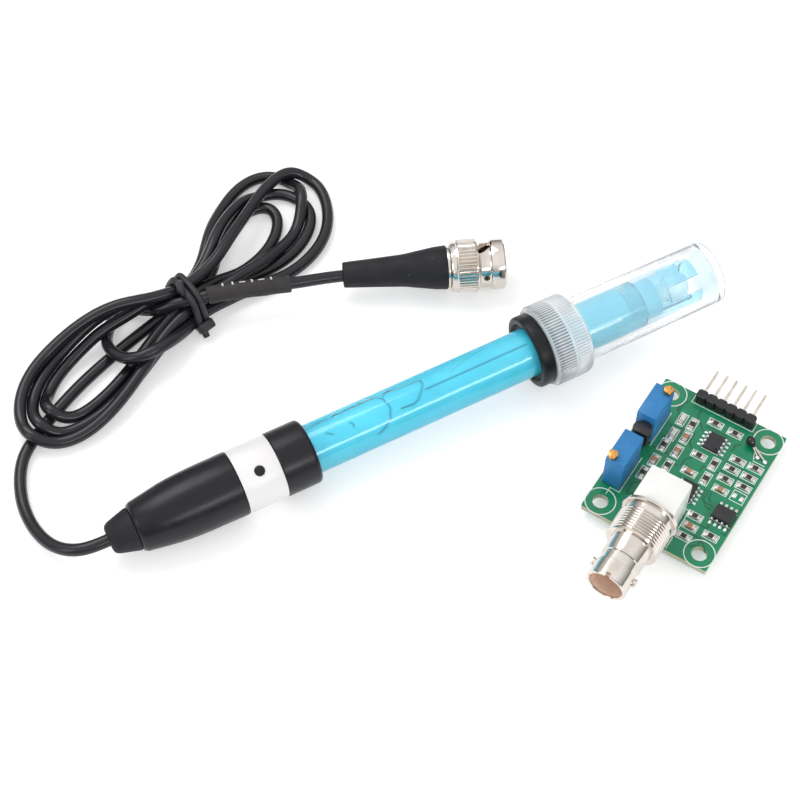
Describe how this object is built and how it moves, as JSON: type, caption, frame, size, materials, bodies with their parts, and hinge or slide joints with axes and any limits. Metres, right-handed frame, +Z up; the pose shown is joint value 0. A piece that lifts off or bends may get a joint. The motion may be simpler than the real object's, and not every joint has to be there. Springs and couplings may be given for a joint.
{
  "type": "ph meter",
  "caption": "pH electrode with coiled lead, bayonet plug and screw-on soak bottle, beside the amplifier board with jack, trimmers and header that reads it.",
  "frame": {"origin": "on the bench under the middle of the electrode and board together, cord and plug left out", "axes": "+X along the electrode from its cable end to its bottle, +Z up, +Y to the side of the coiled lead"},
  "size_m": [0.1748, 0.1515, 0.0207],
  "materials": {
    "black_shell": "satin black",
    "black_rubber": "matt black",
    "cord_jacket": "glossy black",
    "white_plastic": "satin white",
    "cyan_tube": "clear",
    "gel": "clear gel",
    "clear_plastic": "clear",
    "glass": "clear",
    "silver_wire": "bright",
    "epoxy": "matt",
    "ceramic": "matt",
    "nickel": "bright nickel",
    "brass": "bright",
    "ptfe": "matt white",
    "silicone": "matt",
    "board_green": "satin green mask",
    "solder": "bright tin",
    "header_black": "matt black",
    "trimmer_blue": "satin blue",
    "chip_black": "matt",
    "resistor": "satin",
    "capacitor": "satin",
    "lamp": "milky",
    "marker": "matt black"
  },
  "bodies": {
    "electrode": {"cable_grommet": "black_rubber", "head_cone": "black_shell", "white_band": "white_plastic", "head_collar": "black_shell", "electrode_tube": "cyan_tube", "glass_stem": "glass", "ph_bulb": "glass", "head_seal": "epoxy", "tip_stopper": "epoxy", "porous_junction": "ceramic", "reference_gel": "gel", "measuring_wire": "silver_wire", "reference_wire": "silver_wire", "cord_lead": "cord_jacket", "cord_hank": "cord_jacket", "cord_tail": "cord_jacket", "twist_tie": "black_rubber", "marker_sleeve": "marker", "cable_ends": "cord_jacket", "plug_boot": "black_rubber", "plug_ferrule": "nickel", "plug_body": "nickel", "plug_insulator": "ptfe", "plug_pin": "brass", "plug_seal": "silicone"},
    "filler": {"fill_plug": "black_rubber"},
    "cap": {"bottle_cap": "clear_plastic", "cap_gasket": "black_rubber"},
    "seal": {"seal_ring": "silicone"},
    "bottle": {"soak_bottle": "clear_plastic"},
    "nut": {"coupling_nut": "nickel"},
    "board": {"circuit_board": "board_green", "solder_joints": "solder", "header_block": "header_black", "header_pins": "solder", "trimmer_case_a": "trimmer_blue", "trimmer_case_b": "trimmer_blue", "trimmer_legs": "solder", "regulator": "chip_black", "regulator_legs": "solder", "opamp_chips": "chip_black", "opamp_leads": "solder", "chip_resistors": "resistor", "chip_capacitors": "capacitor", "status_lamps": "lamp", "thermistor_bead": "chip_black", "thermistor_leads": "solder", "jack_housing": "white_plastic", "jack_shell": "nickel", "jack_insulator": "ptfe", "jack_contact": "brass", "jack_legs": "solder", "trimmer_wiper_a": "brass", "trimmer_wiper_b": "brass"},
    "screw_a": {"trimmer_screw_a": "brass"},
    "screw_b": {"trimmer_screw_b": "brass"}
  },
  "joints": [
    {"name": "bottle_pull", "type": "slide", "parent": "electrode", "child": "cap", "axis": [0.9996, 0, 0.0285], "range_m": [0, 0.05]},
    {"name": "bottle_unscrew_travel", "type": "slide", "parent": "cap", "child": "seal", "axis": [0.9996, 0, 0.0285], "range_m": [0, 0.005]},
    {"name": "bottle_unscrew", "type": "hinge", "parent": "seal", "child": "bottle", "pos_m": [0.0503, 0.02826, 0.01079], "axis": [0.9996, 0, 0.0285], "range_deg": [0, 900]},
    {"name": "fill_plug_pull", "type": "slide", "parent": "electrode", "child": "filler", "axis": [-0.0252, -0.4695, 0.8826], "range_m": [0, 0.008]},
    {"name": "nut_turn", "type": "hinge", "parent": "electrode", "child": "nut", "pos_m": [0.02821, 0.06082, 0.00675], "axis": [0.9285, -0.3714, 0], "continuous": true},
    {"name": "board_lift", "type": "slide", "parent": "electrode", "child": "board", "axis": [0, 0, 1], "range_m": [0, 0.06]},
    {"name": "trimmer_a_turn", "type": "hinge", "parent": "board", "child": "screw_a", "pos_m": [0.05, 0.00131, 0.01], "axis": [0, 0, 1], "range_deg": [0, 8640]},
    {"name": "trimmer_b_turn", "type": "hinge", "parent": "board", "child": "screw_b", "pos_m": [0.0294, -0.00782, 0.01], "axis": [0, 0, 1], "range_deg": [0, 8640]}
  ],
  "couplings": [
    {"joint": "bottle_unscrew_travel", "follows": "bottle_unscrew", "m_per_rad": 0.000318}
  ]
}
